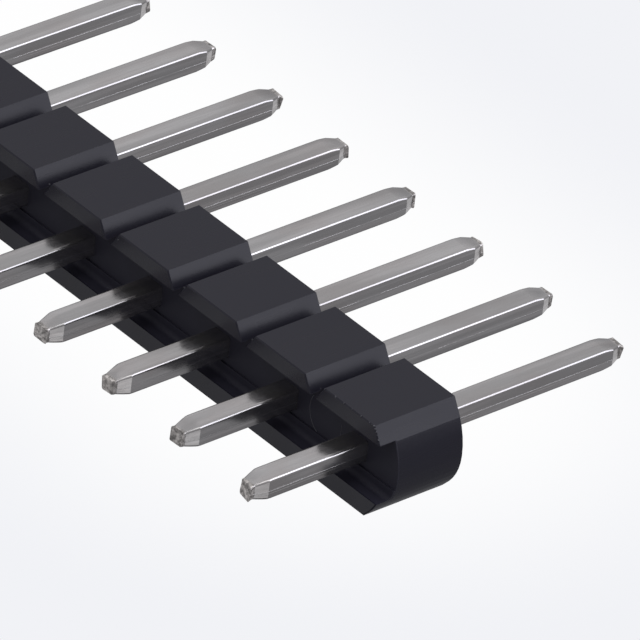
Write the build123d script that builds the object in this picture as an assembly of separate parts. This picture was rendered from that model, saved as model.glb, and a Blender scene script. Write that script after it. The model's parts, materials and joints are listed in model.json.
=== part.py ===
from build123d import *
from math import cos, radians, sin, tan
import os

# Single-row straight pin header, 2.54 mm pitch, lying on its side as it rests on a bench.
# +X runs along the row, +Y the way the mating pins point, +Z up.
# The origin is the middle of the whole part, on the surface that it lies on.
# All lengths are in millimetres.

# Row
pitch = 2.54
pin_count = 40

# Pins: one square wire each, pressed through the housing
pin_width = 0.60
pin_edge_radius = 0.07
tail_length = 3.00
mating_length = 6.00

# Pin ends: four curved bevels, then the short stub where the wire was parted
bevel_length = 0.50
stub_length = 0.11
neck_width = 0.42
stub_width = 0.38

# Housing: a bar of one segment a pin, joined at V notches where it can be snapped
body_depth = 2.50
body_height = 2.54
face_width = 1.826
notch_angle = 64.0
notch_root_radius = 0.06
rim_bevel = 0.03

# Ends of the housing, out from the last pin's axis: a crisp bevel at the top, a face that swells
# past half a pitch to its crown and turns in below it, and a smaller bevel at the bottom
upper_shoulder = 1.19
upper_shoulder_height = 2.09
crown = 1.428
crown_height = 1.12
lower_shoulder = 1.127
lower_shoulder_height = 0.247

# Channel along the board side, between two lips
channel_depth = 0.48
upper_lip = 0.43
lower_lip = 0.53
channel_corner_radius = 0.14
ledge_height = 0.82
ledge_step = 0.05

# Worked out from the above
pin_length = tail_length + body_depth + mating_length
board_face = tail_length - pin_length / 2
pin_height = body_height / 2
first_pin = -pitch * (pin_count - 1) / 2
pin_places = [first_pin + pitch * number for number in range(pin_count)]


def wire_section():
    """The pin's square section with its rounded edges."""
    return RectangleRounded(pin_width, pin_width, pin_edge_radius)


def pin_side_view():
    """The pin from the side, with the curved bevels and the stub at both ends."""
    half_length = pin_length / 2
    bevel_start = half_length - bevel_length
    neck = half_length - stub_length
    flank = Line((0, pin_width / 2), (bevel_start, pin_width / 2))
    bevel = TangentArc((bevel_start, pin_width / 2), (neck, neck_width / 2), tangent=(1, 0))
    stub = Line((neck, neck_width / 2), (half_length, stub_width / 2))
    tip = Line((half_length, stub_width / 2), (half_length, 0))
    quarter = flank + bevel + stub + tip
    half = quarter + mirror(quarter, about=Plane.YZ)
    return make_face(half + mirror(half, about=Plane.XZ))


def straight_pin():
    """One pin along Y, its middle at the origin: both side views and the section, intersected."""
    view = pin_side_view()
    along_y = Plane(origin=(0, 0, 0), x_dir=(0, 1, 0), z_dir=(0, 0, 1))
    upright = Plane(origin=(0, 0, 0), x_dir=(0, 1, 0), z_dir=(1, 0, 0))
    from_above = extrude(along_y * view, amount=pin_width, both=True)
    from_the_side = extrude(upright * view, amount=pin_width, both=True)
    wire = extrude(Plane.XZ * wire_section(), amount=pin_length, both=True)
    return wire & from_above & from_the_side


def notch(middle, level, down):
    """A V notch with a round root, from left to right; down is -1 from the top, +1 from the underside."""
    half_angle = radians(notch_angle / 2)
    half_width = (pitch - face_width) / 2
    side = notch_root_radius * cos(half_angle)
    tangent_depth = (half_width - side) / tan(half_angle)
    root_depth = tangent_depth + notch_root_radius * (1 - sin(half_angle))
    left = (middle - side, level + down * tangent_depth)
    right = (middle + side, level + down * tangent_depth)
    root = (middle, level + down * root_depth)
    into = Line((middle - half_width, level), left)
    out = Line(right, (middle + half_width, level))
    return into + ThreePointArc(left, root, right) + out


def notched_edge(level, down):
    """The top or the underside of the housing: a flat for each pin and a notch between each pair."""
    half_face = face_width / 2
    edge = Line((pin_places[0] - half_face, level), (pin_places[0] + half_face, level))
    for place in pin_places[1:]:
        edge += notch(place - pitch / 2, level, down)
        edge += Line((place - half_face, level), (place + half_face, level))
    return edge


def end_edge(side):
    """One end of the housing, from the top to the underside; side is -1 or +1 along X."""
    pin = side * pin_places[-1]
    corner = pin + side * face_width / 2
    high = (pin + side * upper_shoulder, upper_shoulder_height)
    outermost = (pin + side * crown, crown_height)
    low = (pin + side * lower_shoulder, lower_shoulder_height)
    upper_bevel = Line((corner, body_height), high)
    upper_face = TangentArc(outermost, high, tangent=(0, 1))
    lower_face = TangentArc(outermost, low, tangent=(0, -1))
    lower_bevel = Line(low, (corner, 0))
    return upper_bevel + upper_face + lower_face + lower_bevel


def channel():
    """The channel on the board side, wider than the pins, with a low ledge along its floor."""
    bottom = lower_lip
    top = body_height - upper_lip
    shallow = board_face + channel_depth - ledge_step
    deep = board_face + channel_depth
    mouth = board_face - channel_depth
    outline = Polyline(
        (mouth, bottom),
        (shallow, bottom),
        (shallow, ledge_height),
        (deep, ledge_height),
        (deep, top),
        (mouth, top),
        close=True,
    )
    face = make_face(outline)
    corner = face.vertices().sort_by_distance((shallow, bottom, 0))[0]
    face = fillet(corner, channel_corner_radius)
    section = Plane(origin=(0, 0, 0), x_dir=(0, 1, 0), z_dir=(1, 0, 0)) * face
    return extrude(section, amount=pitch * pin_count, both=True)


def housing():
    """The moulded bar: notched outline, one square hole a pin, bevelled rims and the channel."""
    outline = notched_edge(body_height, -1) + notched_edge(0, 1) + end_edge(-1) + end_edge(1)
    face = make_face(outline)
    # Plane.XZ faces -Y, so a negative amount grows the bar from the board face towards +Y
    bar = extrude(Plane.XZ.offset(-board_face) * face, amount=-body_depth)
    rims = bar.faces().filter_by(Axis.Y).edges()
    bar = chamfer(rims, rim_bevel)
    bar -= channel()
    holes = [Pos(place, pin_height) * wire_section() for place in pin_places]
    bar -= extrude(Plane.XZ.offset(-board_face) * Sketch(children=holes), amount=-body_depth)
    return bar


def save(shape, name):
    """Write one piece as a STEP file named after its node."""
    shape.label = name
    export_step(shape, f"parts/{name}.step")


os.makedirs("parts", exist_ok=True)
save(housing(), "housing")
pin = straight_pin()
for number, place in enumerate(pin_places, start=1):
    save(Pos(place, 0, pin_height) * pin, f"pin_{number:02d}")
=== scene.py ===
import json
import math
import random

import bpy
from mathutils import Matrix, Vector

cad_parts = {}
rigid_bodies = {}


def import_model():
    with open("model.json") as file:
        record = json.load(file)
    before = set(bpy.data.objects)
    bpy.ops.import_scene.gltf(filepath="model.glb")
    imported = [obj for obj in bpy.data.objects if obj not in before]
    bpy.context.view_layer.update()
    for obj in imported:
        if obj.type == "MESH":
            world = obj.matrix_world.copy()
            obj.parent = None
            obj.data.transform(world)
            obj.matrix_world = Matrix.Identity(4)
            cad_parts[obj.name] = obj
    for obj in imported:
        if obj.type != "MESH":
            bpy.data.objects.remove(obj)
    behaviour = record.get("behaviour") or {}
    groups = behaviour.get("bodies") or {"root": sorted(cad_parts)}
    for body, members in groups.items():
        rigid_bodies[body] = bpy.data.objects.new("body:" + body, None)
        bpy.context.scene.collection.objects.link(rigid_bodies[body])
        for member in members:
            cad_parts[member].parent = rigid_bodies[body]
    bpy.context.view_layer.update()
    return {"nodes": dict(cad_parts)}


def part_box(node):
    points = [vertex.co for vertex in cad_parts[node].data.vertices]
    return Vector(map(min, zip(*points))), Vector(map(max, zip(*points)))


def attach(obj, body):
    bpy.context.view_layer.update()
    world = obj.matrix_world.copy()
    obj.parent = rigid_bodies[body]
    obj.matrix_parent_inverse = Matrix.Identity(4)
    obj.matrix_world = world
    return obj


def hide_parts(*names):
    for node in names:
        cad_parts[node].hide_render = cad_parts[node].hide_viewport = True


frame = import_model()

mm = 0.001
weldDistance = 0.0002 * mm  # corners nearer than this are one corner


class Wire:
    # one node socket, so that shader maths can be written as an expression
    def __init__(self, tree, socket):
        self.tree = tree
        self.socket = socket

    def maths(self, operation, *others):
        return self.tree.maths(operation, self, *others)

    def __add__(self, other):
        return self.maths("ADD", other)

    def __radd__(self, other):
        return self.tree.maths("ADD", other, self)

    def __sub__(self, other):
        return self.maths("SUBTRACT", other)

    def __rsub__(self, other):
        return self.tree.maths("SUBTRACT", other, self)

    def __mul__(self, other):
        return self.maths("MULTIPLY", other)

    def __rmul__(self, other):
        return self.tree.maths("MULTIPLY", other, self)

    def size(self):
        return self.maths("ABSOLUTE")

    def orMore(self, least):
        return self.maths("MAXIMUM", least)

    def root(self):
        return self.maths("SQRT")


class Tree:
    # the nodes of one material or of the world
    def __init__(self, nodeTree):
        self.nodeTree = nodeTree
        self.nodeTree.nodes.clear()

    def node(self, kind, settings=None, inputs=None):
        made = self.nodeTree.nodes.new(kind)
        for name, value in (settings or {}).items():
            if name == "stops":
                self.setStops(made.color_ramp, value)
            else:
                setattr(made, name, value)
        for name, value in (inputs or {}).items():
            self.feed(made.inputs[name], value)
        return made

    def setStops(self, ramp, stops):
        while len(ramp.elements) < len(stops):
            ramp.elements.new(0.5)
        for element, (place, shade) in zip(ramp.elements, stops):
            element.position = place
            element.color = (*shade, 1)

    def feed(self, socket, value):
        if isinstance(value, Wire):
            self.nodeTree.links.new(value.socket, socket)
        else:
            socket.default_value = value

    def wire(self, made, name):
        return Wire(self, made.outputs[name])

    def maths(self, operation, *values):
        made = self.node("ShaderNodeMath", {"operation": operation})
        for socket, value in zip(made.inputs, values):
            self.feed(socket, value)
        return self.wire(made, "Value")

    def place(self, scale=(1, 1, 1), source="Object"):
        coordinates = self.node("ShaderNodeTexCoord")
        mapping = self.node("ShaderNodeMapping", {}, {
            "Vector": self.wire(coordinates, source),
            "Scale": scale,
        })
        return self.wire(mapping, "Vector")

    def parts(self, vector):
        split = self.node("ShaderNodeSeparateXYZ", {}, {"Vector": vector})
        return [self.wire(split, axis) for axis in "XYZ"]

    def noise(self, vector, scale, detail=2.0, roughness=0.5):
        made = self.node("ShaderNodeTexNoise", {}, {
            "Vector": vector, "Scale": scale, "Detail": detail, "Roughness": roughness,
        })
        return self.wire(made, "Fac")

    def ramp(self, value, start, end, low=0.0, high=1.0):
        made = self.node("ShaderNodeMapRange", {"interpolation_type": "SMOOTHSTEP"}, {
            "Value": value, "From Min": start, "From Max": end, "To Min": low, "To Max": high,
        })
        return self.wire(made, "Result")

    def blend(self, share, one, other):
        # a Mix node has several sockets of each name, so its colour sockets go by number
        made = self.node("ShaderNodeMix", {"data_type": "RGBA"})
        for number, value in ((0, share), (6, one), (7, other)):
            self.feed(made.inputs[number], value)
        return Wire(self, made.outputs[2])

    def bump(self, height, strength, distance, normal=None):
        inputs = {"Height": height, "Strength": strength, "Distance": distance}
        if normal is not None:
            inputs["Normal"] = normal
        return self.wire(self.node("ShaderNodeBump", {}, inputs), "Normal")


def newMaterial(name):
    material = bpy.data.materials.new(name)
    material.use_nodes = True
    return material, Tree(material.node_tree)


def finishMaterial(tree, shader):
    out = tree.node("ShaderNodeOutputMaterial")
    tree.nodeTree.links.new(shader, out.inputs["Surface"])


def shade(colour, factor=1.0):
    return (*[channel * factor for channel in colour], 1)


def deselectAll():
    if bpy.context.object and bpy.context.object.mode != "OBJECT":
        bpy.ops.object.mode_set(mode="OBJECT")
    bpy.ops.object.select_all(action="DESELECT")


def makeActive(piece):
    deselectAll()
    piece.select_set(True)
    bpy.context.view_layer.objects.active = piece


def editMode(selectMode="FACE"):
    bpy.ops.object.mode_set(mode="EDIT")
    bpy.ops.mesh.select_mode(type=selectMode)


def pickFaces(piece, wanted):
    # selects the faces that the test wants, and leaves the piece in edit mode
    editMode("FACE")
    bpy.ops.mesh.select_all(action="DESELECT")
    bpy.ops.object.mode_set(mode="OBJECT")
    for face in piece.data.polygons:
        face.select = wanted(face.center, face.normal)
    bpy.ops.object.mode_set(mode="EDIT")


def pickVertices(piece, wanted):
    editMode("VERT")
    bpy.ops.mesh.select_all(action="DESELECT")
    bpy.ops.object.mode_set(mode="OBJECT")
    for vertex in piece.data.vertices:
        vertex.select = wanted(vertex.co)
    bpy.ops.object.mode_set(mode="EDIT")


def closeShell():
    # merges doubles and turns every face outwards
    bpy.ops.mesh.select_all(action="SELECT")
    bpy.ops.mesh.remove_doubles(threshold=weldDistance)
    bpy.ops.mesh.normals_make_consistent(inside=False)


def applyPlace(piece):
    makeActive(piece)
    bpy.ops.object.transform_apply(location=True, rotation=True, scale=True)


def ownCopy(piece, name, move=(0, 0, 0)):
    made = piece.copy()
    made.data = piece.data.copy()
    made.name = name
    made.data.transform(Matrix.Translation(move))
    bpy.context.scene.collection.objects.link(made)
    return made


def removePiece(piece):
    bpy.data.objects.remove(piece, do_unlink=True)


pinCount = sum(node.startswith("pin_") for node in frame["nodes"])
endPinLow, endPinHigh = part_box(f"pin_{pinCount:02d}")
endPin = (endPinLow + endPinHigh) / 2
housingLow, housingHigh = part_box("housing")
channelDepth = 0.48 * mm
channelFloor = housingLow.y + channelDepth

cameraSettings = {
    "azimuth": 46.10,
    "elevation": 33.12,
    "roll": 7.20,
    "distance": 296.46 * mm,
    "lens": 702.0,
    "sensor": 36,
    "nearest": 0.01,
    "farthest": 20,
    "inFromEndPin": 4.60 * mm,
    "pastMiddle": 0.385 * mm,
}


def placeCamera(settings):
    azimuth = math.radians(settings["azimuth"])
    elevation = math.radians(settings["elevation"])
    back = Vector((
        math.sin(azimuth) * math.cos(elevation),
        -math.cos(azimuth) * math.cos(elevation),
        math.sin(elevation),
    ))
    aim = endPin + Vector((-settings["inFromEndPin"], settings["pastMiddle"], 0))
    data = bpy.data.cameras.new("camera")
    data.lens = settings["lens"]
    data.sensor_width = settings["sensor"]
    data.clip_start = settings["nearest"]
    data.clip_end = settings["farthest"]
    camera = bpy.data.objects.new("camera", data)
    bpy.context.scene.collection.objects.link(camera)
    camera.rotation_mode = "QUATERNION"
    level = (-back).to_track_quat("-Z", "Y")
    roll = Matrix.Rotation(math.radians(settings["roll"]), 3, "Z").to_quaternion()
    camera.rotation_quaternion = level @ roll
    camera.location = aim + back * settings["distance"]
    bpy.context.scene.camera = camera


placeCamera(cameraSettings)
print("camera placed")


plasticLooks = {
    "black": (0.0141, 0.0134, 0.0230),
    "worn": (0.034, 0.034, 0.042),
    "flash": (0.085, 0.085, 0.100),
    "grainSize": 0.030 * mm,
    "grainStrength": 0.5,
    "grainDepth": 0.0012 * mm,
    "cloudSize": 0.9 * mm,
    "cloudSpread": (0.3, 0.7),
    "cloudContrast": 0.10,
    "flowLength": 6.0,
    "speckSize": 0.050 * mm,
    "speckSpread": (0.70, 0.78),
    "speckShare": 0.35,
    "specular": 0.31,
    "roughness": 0.28,
    "roughnessSwing": 0.03,
    "wornSmoother": 0.06,
    "flashRougher": 0.05,
    "channelRoughness": 0.62,
    "channelPaintedLight": 1.25,
    "upperLip": 0.43 * mm,
    "lowerLip": 0.53 * mm,
    "maskEdge": 0.02 * mm,
}


def channelMask(tree, looks):
    # 1 on the channel's own faces, 0 on the lips and everywhere else
    y, z = tree.parts(tree.place())[1:]
    edge = looks["maskEdge"]
    mouth = housingLow.y + edge
    deepest = channelFloor + edge
    top = housingHigh.z - looks["upperLip"]
    inside = tree.ramp(y, mouth, mouth + 2 * edge)
    inside = inside * tree.ramp(y, deepest, deepest + edge, 1.0, 0.0)
    inside = inside * tree.ramp(z, looks["lowerLip"] - edge, looks["lowerLip"])
    return inside * tree.ramp(z, top, top + edge, 1.0, 0.0)


def mouldedPlastic(name, colour, looks, rougher=0.0, channelShare=1.0):
    # black moulding: fine grain, clouds drawn out along the pins, a few lighter specks, and painted light on
    # the channel faces, whose black is lifted to stand in for light in the channel
    material, tree = newMaterial(name)
    spot = tree.place()
    along = tree.place(scale=(1, 1 / looks["flowLength"], 1))
    grain = tree.noise(spot, 1 / looks["grainSize"], detail=3)
    cloud = tree.noise(along, 1 / looks["cloudSize"], detail=3, roughness=0.6)
    specks = tree.ramp(tree.noise(spot, 1 / looks["speckSize"], detail=2), *looks["speckSpread"])
    inChannel = channelMask(tree, looks) * channelShare
    contrast = looks["cloudContrast"]
    clouded = tree.blend(cloud, shade(colour, 1 - contrast), shade(colour, 1 + contrast))
    clouded = tree.blend(specks * looks["speckShare"], clouded, shade(looks["worn"]))
    roughness = looks["roughness"] + rougher
    swing = looks["roughnessSwing"]
    satin = tree.ramp(cloud, *looks["cloudSpread"], roughness - swing, roughness + swing)
    # painted light: inside the channel the base black is lifted to a lighter tone, and the finish is rougher
    shader = tree.node("ShaderNodeBsdfPrincipled", {}, {
        "Base Color": tree.blend(inChannel, clouded, shade(colour, looks["channelPaintedLight"])),
        "Roughness": satin * (1 - inChannel) + inChannel * looks["channelRoughness"],
        "Specular IOR Level": looks["specular"],
        "Normal": tree.bump(grain, looks["grainStrength"], looks["grainDepth"]),
    })
    finishMaterial(tree, shader.outputs["BSDF"])
    return material


tinLooks = {
    "tin": (0.662, 0.648, 0.650),
    "warm": (0.602, 0.568, 0.562),
    "sheared": (0.60, 0.57, 0.55),
    "seamPaintedHighlight": (0.95, 0.94, 0.94),
    "metallic": 0.96,
    "roughness": 0.19,
    "roughnessSwing": 0.04,
    "cloudSize": 0.7 * mm,
    "cloudAlong": 0.35,
    "warmSpread": (0.35, 0.70),
    "streakSize": 0.075 * mm,
    "streakLength": 24.0,
    "streakSpread": (0.35, 0.75),
    "streakShare": 0.22,
    "streakShade": 0.70,
    "streakGloss": (0.3, 0.7),
    "streakBump": (0.25, 0.0015 * mm),
    "bandSize": 0.16 * mm,
    "bandAcross": 0.35,
    "bandAlong": 0.02,
    "bandSpread": (0.42, 0.60),
    "bandShare": 0.45,
    "bandShade": 0.55,
    "pitSize": 0.06 * mm,
    "pitAlong": 0.5,
    "pitSpread": (0.66, 0.74),
    "pitShare": 0.30,
    "seams": [
        {"height": -0.050 * mm, "cloud": (0.30, 0.50), "strength": (0.35, 1.0)},
        {"height": -0.120 * mm, "cloud": (0.48, 0.62), "strength": (0.0, 0.7)},
    ],
    "seamWidth": 0.013 * mm,
    "seamCore": 0.4,
    "seamWander": 0.012 * mm,
    "seamShare": 0.8,
    "seamBump": (0.6, 0.006 * mm),
    "tornSize": 0.11 * mm,
    "tornSpread": (0.3, 0.7),
    "tornShades": (0.45, 1.45),
    "tornBump": (0.5, 0.02 * mm),
    "shearedRoughness": 0.36,
    "shearedLength": 0.09 * mm,
    "shearedSpread": (0.8, 1.3),
    "shearedWander": 0.10 * mm,
}


def shearedMask(tree, looks, y, torn):
    # 1 at the parted ends, with a ragged border towards the plated wire
    halfLength = (endPinHigh.y - endPinLow.y) / 2
    fromTip = halfLength - (y - endPin.y).size()
    ragged = fromTip + (torn - 0.5) * looks["shearedWander"]
    start, end = [looks["shearedLength"] * share for share in looks["shearedSpread"]]
    return tree.ramp(ragged, start, end, 1.0, 0.0)


def seamMask(tree, looks, z, cloud):
    # two fine draw seams along each side, the lower one broken up: each is a real bump with a painted
    # highlight, a near white line painted along it
    wander = (cloud - 0.5) * looks["seamWander"]
    core = looks["seamWidth"] * looks["seamCore"]
    upper, lower = [
        tree.ramp((z - (endPin.z + seam["height"]) + wander).size(), core, looks["seamWidth"], 1.0, 0.0)
        * tree.ramp(cloud, *seam["cloud"], *seam["strength"])
        for seam in looks["seams"]
    ]
    return upper + lower


def tinPlate(looks):
    # tin over drawn wire: streaks along the pin, clouded patches, pits, draw seams with a painted highlight
    # along them, torn ends
    material, tree = newMaterial("tinPlate")
    y, z = tree.parts(tree.place())[1:]
    streakPlace = tree.place(scale=(1, 1 / looks["streakLength"], 1))
    bandPlace = tree.place(scale=(looks["bandAcross"], looks["bandAlong"], 1))
    streaks = tree.noise(streakPlace, 1 / looks["streakSize"], detail=3, roughness=0.6)
    bands = tree.noise(bandPlace, 1 / looks["bandSize"], detail=1, roughness=0.4)
    cloud = tree.noise(tree.place(scale=(1, looks["cloudAlong"], 1)), 1 / looks["cloudSize"], 3, 0.55)
    pits = tree.noise(tree.place(scale=(1, looks["pitAlong"], 1)), 1 / looks["pitSize"], detail=2)
    torn = tree.noise(tree.place(), 1 / looks["tornSize"], detail=2, roughness=0.6)
    sheared = shearedMask(tree, looks, y, torn)
    seam = seamMask(tree, looks, z, cloud)
    streaked = tree.ramp(streaks, *looks["streakSpread"], 0.0, looks["streakShare"])
    banded = tree.ramp(bands, *looks["bandSpread"], 0.0, looks["bandShare"])
    pitted = tree.ramp(pits, *looks["pitSpread"]) * looks["pitShare"]
    plate = tree.blend(tree.ramp(cloud, *looks["warmSpread"]), shade(looks["tin"]), shade(looks["warm"]))
    plate = tree.blend(streaked, plate, shade(looks["tin"], looks["streakShade"]))
    plate = tree.blend(banded, plate, shade(looks["tin"], looks["bandShade"]))
    plate = tree.blend(pitted, plate, shade(looks["sheared"]))
    # painted highlight: the draw seams are painted near white
    plate = tree.blend(seam * looks["seamShare"], plate, shade(looks["seamPaintedHighlight"]))
    dark, light = [shade(looks["sheared"], tone) for tone in looks["tornShades"]]
    bare = tree.blend(tree.ramp(torn, *looks["tornSpread"]), dark, light)
    roughness = looks["roughness"]
    swing = looks["roughnessSwing"]
    gloss = tree.ramp(streaks, *looks["streakGloss"], roughness - swing, roughness + swing)
    streakBump = tree.bump(streaks, *looks["streakBump"])
    seamBump = tree.bump(seam, *looks["seamBump"], streakBump)
    shader = tree.node("ShaderNodeBsdfPrincipled", {}, {
        "Base Color": tree.blend(sheared, plate, bare),
        "Metallic": looks["metallic"],
        "Roughness": gloss * (1 - sheared) + sheared * looks["shearedRoughness"],
        "Normal": tree.bump(torn * sheared, *looks["tornBump"], seamBump),
    })
    finishMaterial(tree, shader.outputs["BSDF"])
    return material


plastic = mouldedPlastic("mouldedPlastic", plasticLooks["black"], plasticLooks)
rubbedPlastic = mouldedPlastic(
    "rubbedPlastic", plasticLooks["worn"], plasticLooks, rougher=-plasticLooks["wornSmoother"],
)
flashPlastic = mouldedPlastic(
    "flashPlastic", plasticLooks["flash"], plasticLooks,
    rougher=plasticLooks["flashRougher"], channelShare=0.0,
)
tin = tinPlate(tinLooks)
print("materials made")


barSettings = {
    "softEdge": 0.018 * mm,
    "edgeSteps": 2,
    "sharpestKept": math.radians(12),
    "roundedFrom": math.radians(24),
    "flatWithin": 0.02,
}


def mouldedBar(settings):
    # the moulding with every mould edge slightly rounded and rubbed
    piece = ownCopy(frame["nodes"]["housing"], "mouldedBar")
    piece.data.materials.clear()
    piece.data.materials.append(plastic)
    piece.data.materials.append(rubbedPlastic)
    makeActive(piece)
    editMode("FACE")
    bpy.ops.mesh.select_all(action="SELECT")
    bpy.ops.mesh.remove_doubles(threshold=weldDistance)
    bpy.ops.mesh.dissolve_limited(angle_limit=settings["flatWithin"])
    bpy.ops.object.mode_set(mode="OBJECT")
    bpy.ops.object.shade_smooth_by_angle(angle=settings["sharpestKept"])
    rounding = piece.modifiers.new("rounding", "BEVEL")
    rounding.width = settings["softEdge"]
    rounding.segments = settings["edgeSteps"]
    rounding.limit_method = "ANGLE"
    rounding.angle_limit = settings["roundedFrom"]
    rounding.harden_normals = True
    rounding.material = 1  # the rubbed plastic
    bpy.ops.object.modifier_apply(modifier="rounding")
    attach(piece, "root")
    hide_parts("housing")


mouldedBar(barSettings)
print("bar finished")


pinSettings = {
    "width": 0.60 * mm,
    "edgeRadius": 0.085 * mm,
    "cornerSteps": 8,
    "neck": 0.42 * mm,
    "stubWidth": 0.40 * mm,
    "stubLength": 0.11 * mm,
    "tailSideBevel": 0.36 * mm,
    "tailTopBevel": 0.44 * mm,
    "matingSideBevel": 0.24 * mm,
    "matingTopBevel": 0.52 * mm,
    "bevelRings": 10,
    "crispest": 12.5,
    "bevelRoundness": 0.5,
    "stubRings": ((0.0, 1.03, 1.0), (0.45, 1.0, 1.02)),  # share of the stub's length, width, height
    "neckNarrowing": 0.99,
    "kinds": 5,
    "kindStep": 3,
    "firstSeed": 40,
    "cutSlant": 8,
    "cutTwist": 7,
    "cutShift": 0.028 * mm,
    "cutSizes": (0.92, 1.10),
    "raggedRim": 0.006 * mm,
    "rimEvenness": 0.1,
    "rimShare": 0.8,
    "raggedFace": 0.020 * mm,
    "faceEvenness": 0.2,
    "faceInset": 0.05 * mm,
    "endFacing": 0.99,
    "endDepth": 0.01 * mm,
    "mostSeeds": 1000,
}


def ringSizes(settings, sideBevel, topBevel):
    # the section's width and height at rings from the very tip to the full wire
    neck = settings["neck"]
    full = settings["width"]
    stub = settings["stubLength"]
    thin = settings["stubWidth"]
    rings = [(stub * share, thin * wide, thin * high) for share, wide, high in settings["stubRings"]]
    rings.append((stub, neck * settings["neckNarrowing"], neck))
    steps = settings["bevelRings"]
    roundness = settings["bevelRoundness"]
    places = {topBevel * step / steps for step in range(1, steps + 1)} | {sideBevel}
    for along in sorted(places):
        side = min(along / sideBevel, 1.0)
        top = min(along / topBevel, 1.0)
        width = neck + (full - neck) * side
        curve = (1 - roundness) * top + roundness * math.sin(top * math.pi / 2)
        height = neck + (full - neck) * curve
        rings.append((stub + along, width, height))
    return rings


def roughTip(piece, settings, side, draw):
    # slants the parted face, then breaks up the face and its rim
    half = (endPinHigh.y - endPinLow.y) / 2
    tip = endPin.y + side * half
    makeActive(piece)
    pickFaces(piece, lambda spot, facing: (
        facing.y * side > settings["endFacing"] and abs(spot.y - tip) < settings["endDepth"]
    ))
    centre = (0, tip, endPin.z)
    shift = settings["cutShift"]
    turns = (("X", settings["cutSlant"]), ("Z", settings["cutSlant"]), ("Y", settings["cutTwist"]))
    for axis, most in turns:
        turn = math.radians(draw.uniform(-most, most))
        bpy.ops.transform.rotate(value=turn, orient_axis=axis, center_override=centre)
    sizes = (draw.uniform(*settings["cutSizes"]), 1, draw.uniform(*settings["cutSizes"]))
    bpy.ops.transform.resize(value=sizes, center_override=centre)
    bpy.ops.transform.translate(value=(draw.uniform(-shift, shift), 0, draw.uniform(-shift, shift)))
    bpy.ops.mesh.inset(thickness=settings["faceInset"])
    bpy.ops.mesh.poke()
    bpy.ops.mesh.select_less()
    bpy.ops.transform.vertex_random(
        offset=settings["raggedFace"], uniform=settings["faceEvenness"],
        seed=draw.randrange(settings["mostSeeds"]),
    )
    pickVertices(piece, lambda spot: (spot.y - tip) * side > -settings["stubLength"] * settings["rimShare"])
    bpy.ops.transform.vertex_random(
        offset=settings["raggedRim"], uniform=settings["rimEvenness"],
        seed=draw.randrange(settings["mostSeeds"]),
    )
    deselectAll()


def wirePin(settings, number):
    # one pin at x = 0: a rounded square drawn out ring by ring, coined and parted at both ends
    draw = random.Random(settings["firstSeed"] + number)
    bpy.ops.mesh.primitive_plane_add(
        size=settings["width"], location=(0, endPinLow.y, endPin.z), rotation=(math.pi / 2, 0, 0),
    )
    piece = bpy.context.object
    piece.name = f"wirePin{number}"
    applyPlace(piece)
    editMode("VERT")
    bpy.ops.mesh.select_all(action="SELECT")
    bpy.ops.mesh.bevel(offset=settings["edgeRadius"], segments=settings["cornerSteps"], affect="VERTICES")
    editMode("FACE")
    bpy.ops.mesh.select_all(action="SELECT")
    length = endPinHigh.y - endPinLow.y
    tail = ringSizes(settings, settings["tailSideBevel"], settings["tailTopBevel"])
    mating = ringSizes(settings, settings["matingSideBevel"], settings["matingTopBevel"])
    rings = tail + [(length - along, width, height) for along, width, height in reversed(mating)]
    lastAlong = 0.0
    lastWidth = settings["width"]
    lastHeight = settings["width"]
    for along, width, height in rings:
        if along > lastAlong:
            bpy.ops.mesh.extrude_region_move(TRANSFORM_OT_translate={"value": (0, along - lastAlong, 0)})
        bpy.ops.transform.resize(
            value=(width / lastWidth, 1, height / lastHeight),
            center_override=(0, endPinLow.y + along, endPin.z),
        )
        lastAlong, lastWidth, lastHeight = along, width, height
    closeShell()
    for side in (-1, 1):
        roughTip(piece, settings, side, draw)
    makeActive(piece)
    bpy.ops.object.shade_smooth_by_angle(angle=math.radians(settings["crispest"]))
    piece.data.materials.clear()
    piece.data.materials.append(tin)
    return piece


def allPins(settings):
    kinds = [wirePin(settings, number) for number in range(settings["kinds"])]
    for number in range(1, pinCount + 1):
        node = f"pin_{number:02d}"
        low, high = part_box(node)
        kind = kinds[(number * settings["kindStep"]) % settings["kinds"]]
        piece = ownCopy(kind, f"pressedPin{number:02d}", ((low.x + high.x) / 2, 0, 0))
        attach(piece, "root")
        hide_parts(node)
    for kind in kinds:
        removePiece(kind)


allPins(pinSettings)
print("pins finished")


flashSettings = {
    "pitch": 2.54 * mm,
    "faceWidth": 1.826 * mm,
    "threadRadius": 0.010 * mm,
    "threadSides": 6,
    "ringRadius": 0.66 * mm,
    "ringFromEndPin": -1.15 * mm,
    "ringAbovePin": 0.12 * mm,
    "ringStart": 150,
    "ringSweep": 126,
    "ringSteps": 40,
    "scratchFromEndPin": -0.66 * mm,
    "scratchTop": 0.22 * mm,
    "scratchLength": 0.32 * mm,
    "scratchTaper": 0.85,
    "scratchRuns": ((0.35, 0.006 * mm), (0.30, -0.010 * mm), (0.35, 0.012 * mm)),  # share of length, sway
    "crumbSize": 0.024 * mm,
    "crumbStretch": (1.7, 0.8, 0.8),
    "crumbRaggedness": 0.4,
    "crumbEvenness": 0.3,
    "crumbSeed": 3,
    "crumbGrowth": (0.5, 1.25),
    "placeSeed": 11,
    "insideEdge": 0.012 * mm,
    "belowTop": 0.008 * mm,
    "alongEdge": (-0.98, -0.55, -0.22, 0.10, 0.46, 0.80, 0.90, 0.97),  # shares of half a segment's face
    "downShoulder": (0.12, 0.26, 0.40, 0.62),  # shares of the shoulder
    "shoulderAcross": 0.30 * mm,
    "shoulderDrop": 0.45 * mm,
    "notchAcross": (0.20 * mm, 0.34 * mm),
    "notchDrop": (0.04 * mm, 0.16 * mm),
}


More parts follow.
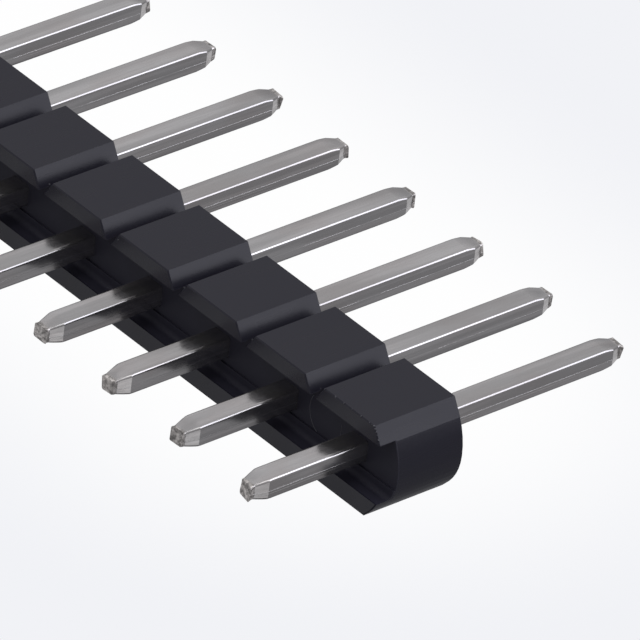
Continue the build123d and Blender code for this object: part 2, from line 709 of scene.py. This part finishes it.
def witnessRing(settings):
    # the thin raised arc that the mould left on the channel floor beside the last notch
    across = endPin.x + settings["ringFromEndPin"]
    centre = Vector((across, channelFloor, endPin.z + settings["ringAbovePin"]))
    start = math.radians(settings["ringStart"])
    out = Vector((math.cos(start), 0, math.sin(start)))
    bpy.ops.mesh.primitive_circle_add(
        vertices=settings["threadSides"], radius=settings["threadRadius"], fill_type="NGON",
        location=centre + out * settings["ringRadius"], rotation=(0, -start, 0),
    )
    piece = bpy.context.object
    piece.name = "witnessRing"
    applyPlace(piece)
    editMode("FACE")
    bpy.ops.mesh.select_all(action="SELECT")
    bpy.ops.mesh.spin(
        steps=settings["ringSteps"], angle=math.radians(settings["ringSweep"]), center=centre, axis=(0, 1, 0),
    )
    closeShell()
    bpy.ops.object.mode_set(mode="OBJECT")
    return piece


def witnessScratch(settings):
    # a short upright flow line on the channel floor of the last segment
    bpy.ops.mesh.primitive_circle_add(
        vertices=settings["threadSides"], radius=settings["threadRadius"], fill_type="NGON",
        location=(endPin.x + settings["scratchFromEndPin"], channelFloor, endPin.z + settings["scratchTop"]),
    )
    piece = bpy.context.object
    piece.name = "witnessScratch"
    applyPlace(piece)
    editMode("FACE")
    bpy.ops.mesh.select_all(action="SELECT")
    taper = settings["scratchTaper"]
    for share, sway in settings["scratchRuns"]:
        drop = -settings["scratchLength"] * share
        bpy.ops.mesh.extrude_region_move(TRANSFORM_OT_translate={"value": (sway, 0, drop)})
        bpy.ops.transform.resize(value=(taper, taper, 1))
    closeShell()
    bpy.ops.object.mode_set(mode="OBJECT")
    return piece


def flashCrumb(settings):
    # one ragged crumb at the origin, to be copied
    bpy.ops.mesh.primitive_ico_sphere_add(subdivisions=1, radius=settings["crumbSize"])
    piece = bpy.context.object
    editMode("VERT")
    bpy.ops.mesh.select_all(action="SELECT")
    bpy.ops.transform.resize(value=settings["crumbStretch"])
    bpy.ops.transform.vertex_random(
        offset=settings["crumbSize"] * settings["crumbRaggedness"],
        uniform=settings["crumbEvenness"],
        seed=settings["crumbSeed"],
    )
    bpy.ops.object.mode_set(mode="OBJECT")
    return piece


def crumbPlaces(settings, draw):
    # along the last segment's tail edge and down its end, then one where each notch runs out at the lip
    tailEdge = housingLow.y + settings["insideEdge"]
    top = housingHigh.z - settings["belowTop"]
    halfFace = settings["faceWidth"] / 2
    for share in settings["alongEdge"]:
        yield Vector((endPin.x + share * halfFace, tailEdge, top))
    for share in settings["downShoulder"]:
        across = settings["shoulderAcross"] * share
        drop = settings["shoulderDrop"] * share
        yield Vector((endPin.x + halfFace + across, tailEdge, top - drop))
    for number in range(1, pinCount):
        middle = endPin.x - (number - 0.5) * settings["pitch"]
        across = draw.uniform(*settings["notchAcross"])
        drop = draw.uniform(*settings["notchDrop"])
        yield Vector((middle + across, tailEdge, top - drop))


def mouldMarks(settings):
    # everything that the mould left standing on the bar, joined as one piece
    pieces = [witnessRing(settings), witnessScratch(settings)]
    crumb = flashCrumb(settings)
    draw = random.Random(settings["placeSeed"])
    for number, place in enumerate(crumbPlaces(settings, draw)):
        copied = ownCopy(crumb, f"crumb{number}")
        growth = draw.uniform(*settings["crumbGrowth"])
        turn = Matrix.Rotation(draw.uniform(0, math.pi), 4, "Y")
        copied.data.transform(Matrix.Translation(place) @ turn @ Matrix.Scale(growth, 4))
        pieces.append(copied)
    removePiece(crumb)
    makeActive(pieces[0])
    for piece in pieces:
        piece.select_set(True)
    bpy.ops.object.join()
    marks = bpy.context.object
    marks.name = "mouldMarks"
    marks.data.materials.clear()
    marks.data.materials.append(flashPlastic)
    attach(marks, "root")


mouldMarks(flashSettings)
print("mould marks finished")


studio = {
    "floorHalf": 6.0,
    "floorGap": 0.005 * mm,
    "near": (0.993, 0.993, 0.995),
    "far": (0.8796, 0.8880, 0.9216),
    "glowFrom": 3.5 * mm,
    "glowTo": 13.0 * mm,
    "fadeBeforeEnd": 3.7 * mm,
    "behindX": 1.40 * mm,  # the floor seen beside the row lies a little behind it
    "behindY": 1.35 * mm,
}


def makeFloor(settings):
    # pale floor just under the bar that glows by itself, with a painted pool of light: it glows a little
    # brighter along the row and behind it
    bpy.ops.mesh.primitive_plane_add(size=2 * settings["floorHalf"], location=(0, 0, -settings["floorGap"]))
    floor = bpy.context.object
    floor.name = "floor"
    material, tree = newMaterial("paleFloor")
    x, y = tree.parts(tree.place())[:2]
    pastEnd = ((x + settings["behindX"]).size() + (settings["fadeBeforeEnd"] - endPin.x)).orMore(0.0)
    aside = y - settings["behindY"]
    away = (pastEnd * pastEnd + aside * aside).root()
    # the painted pool of light: full near the row, fading to the far tone
    glow = tree.ramp(away, settings["glowFrom"], settings["glowTo"])
    colour = tree.blend(glow, shade(settings["near"]), shade(settings["far"]))
    shader = tree.node("ShaderNodeEmission", {}, {"Color": colour, "Strength": 1.0})
    finishMaterial(tree, shader.outputs["Emission"])
    floor.data.materials.append(material)
    floor.visible_glossy = False
    floor.visible_diffuse = False
    floor.visible_shadow = False


roomSettings = {
    "stops": [
        (0.00, (0.10, 0.10, 0.105)),
        (0.22, (0.265, 0.265, 0.275)),
        (0.45, (0.30, 0.30, 0.31)),
        (0.62, (0.37, 0.37, 0.38)),
        (0.76, (0.57, 0.57, 0.58)),
        (1.00, (0.50, 0.50, 0.51)),
    ],
}


def makeWorld(settings):
    # a soft grey room for light and reflections, and the plain pale tone where it is looked at
    world = bpy.data.worlds.new("studio")
    world.use_nodes = True
    bpy.context.scene.world = world
    tree = Tree(world.node_tree)
    z = tree.parts(tree.place(source="Generated"))[2]
    tones = tree.node("ShaderNodeValToRGB", {"stops": settings["stops"]}, {"Fac": z * 0.5 + 0.5})
    around = tree.node("ShaderNodeBackground", {}, {"Color": tree.wire(tones, "Color"), "Strength": 1.0})
    seen = tree.node("ShaderNodeBackground", {}, {"Color": shade(studio["far"]), "Strength": 1.0})
    path = tree.node("ShaderNodeLightPath")
    mix = tree.node("ShaderNodeMixShader")
    tree.nodeTree.links.new(path.outputs["Is Camera Ray"], mix.inputs[0])
    tree.nodeTree.links.new(around.outputs["Background"], mix.inputs[1])
    tree.nodeTree.links.new(seen.outputs["Background"], mix.inputs[2])
    out = tree.node("ShaderNodeOutputWorld")
    tree.nodeTree.links.new(mix.outputs["Shader"], out.inputs["Surface"])


lightDistance = 0.9
white = (1, 1, 1)
coolWhite = (0.97, 0.98, 1.09)
lightSettings = {
    "side strip": {
        "toward": (0.75, 0.58, 0.42), "wide": 0.62, "high": 0.52, "radiance": 1.85, "tint": coolWhite,
    },
    "overhead softbox": {
        "toward": (-0.05, -0.30, 0.95), "wide": 0.55, "high": 0.55, "radiance": 1.6, "tint": white,
    },
    "high side fill": {
        "toward": (0.62, 0.14, 0.77), "wide": 0.30, "high": 0.30, "radiance": 1.3, "tint": white,
    },
    "low end fill": {
        "toward": (0.82, 0.20, -0.54), "wide": 0.26, "high": 0.36, "radiance": 0.40, "tint": white,
    },
    "low back fill": {
        "toward": (0.09, 0.83, -0.52), "wide": 0.34, "high": 0.40, "radiance": 0.35, "tint": white,
    },
    "low front fill": {
        "toward": (-0.60, -0.60, -0.45), "wide": 0.50, "high": 0.50, "radiance": 0.28, "tint": white,
    },
}


def placeLight(name, settings):
    data = bpy.data.lights.new(name, "AREA")
    data.shape = "RECTANGLE"
    data.size = settings["wide"]
    data.size_y = settings["high"]
    data.energy = settings["radiance"] * math.pi * settings["wide"] * settings["high"]
    data.color = settings["tint"]
    light = bpy.data.objects.new(name, data)
    bpy.context.scene.collection.objects.link(light)
    toward = Vector(settings["toward"]).normalized()
    light.location = toward * lightDistance
    light.rotation_mode = "QUATERNION"
    light.rotation_quaternion = toward.to_track_quat("Z", "Y")


makeFloor(studio)
makeWorld(roomSettings)
for name, settings in lightSettings.items():
    placeLight(name, settings)
bpy.context.scene.view_settings.view_transform = "Standard"
print("studio made")
